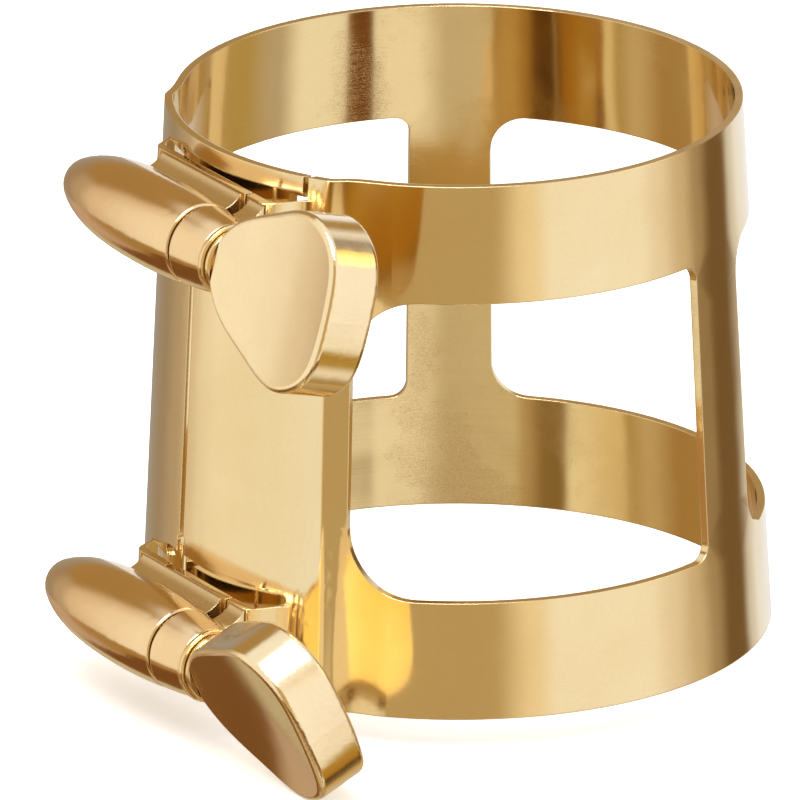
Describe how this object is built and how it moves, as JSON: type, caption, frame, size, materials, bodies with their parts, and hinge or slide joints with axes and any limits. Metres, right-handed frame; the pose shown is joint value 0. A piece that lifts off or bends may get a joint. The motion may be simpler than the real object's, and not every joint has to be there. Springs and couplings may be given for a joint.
{
  "type": "saxophone ligature",
  "caption": "Slotted conical metal ligature with two fan-headed thumbscrews that clamp a reed to a saxophone mouthpiece.",
  "frame": {"origin": "on the band's axis, in the plane of the wide end's rim", "axes": "+Z along the band's axis towards its narrow end; the clamp and both thumbscrews are on the -Y side, and both screws lie along X with their heads at +X"},
  "size_m": [0.0323, 0.0358, 0.0287],
  "materials": {
    "band_brass": "polished and lacquered",
    "lug_brass": "polished and lacquered",
    "solder": "smooth solder, plated over",
    "washer_brass": "polished",
    "screw_brass": "polished, turned",
    "head_brass": "polished and lacquered"
  },
  "bodies": {
    "clamp": {"band": "band_brass", "upper_far_lug": "lug_brass", "upper_near_lug": "lug_brass", "upper_far_solder": "solder", "upper_near_solder": "solder", "lower_far_lug": "lug_brass", "lower_near_lug": "lug_brass", "lower_far_solder": "solder", "lower_near_solder": "solder"},
    "upper_washer": {"upper_washer": "washer_brass"},
    "upper_thumbscrew": {"upper_screw_shank": "screw_brass", "upper_thumb_head": "head_brass"},
    "lower_washer": {"lower_washer": "washer_brass"},
    "lower_thumbscrew": {"lower_screw_shank": "screw_brass", "lower_thumb_head": "head_brass"}
  },
  "joints": [
    {"name": "upper_screw_feed", "type": "slide", "parent": "clamp", "child": "upper_washer", "axis": [1, 0, 0], "range_m": [0, 0.0027]},
    {"name": "upper_screw_turn", "type": "hinge", "parent": "upper_washer", "child": "upper_thumbscrew", "pos_m": [0.0067, -0.01676, 0.0228], "axis": [1, 0, 0], "range_deg": [0, 2160]},
    {"name": "lower_screw_feed", "type": "slide", "parent": "clamp", "child": "lower_washer", "axis": [1, 0, 0], "range_m": [0, 0.0027]},
    {"name": "lower_screw_turn", "type": "hinge", "parent": "lower_washer", "child": "lower_thumbscrew", "pos_m": [0.0067, -0.01791, 0.00285], "axis": [1, 0, 0], "range_deg": [0, 2160]}
  ],
  "couplings": [
    {"joint": "upper_screw_turn", "follows": "upper_screw_feed", "rad_per_m": 13963},
    {"joint": "lower_screw_turn", "follows": "lower_screw_feed", "rad_per_m": 13963}
  ]
}
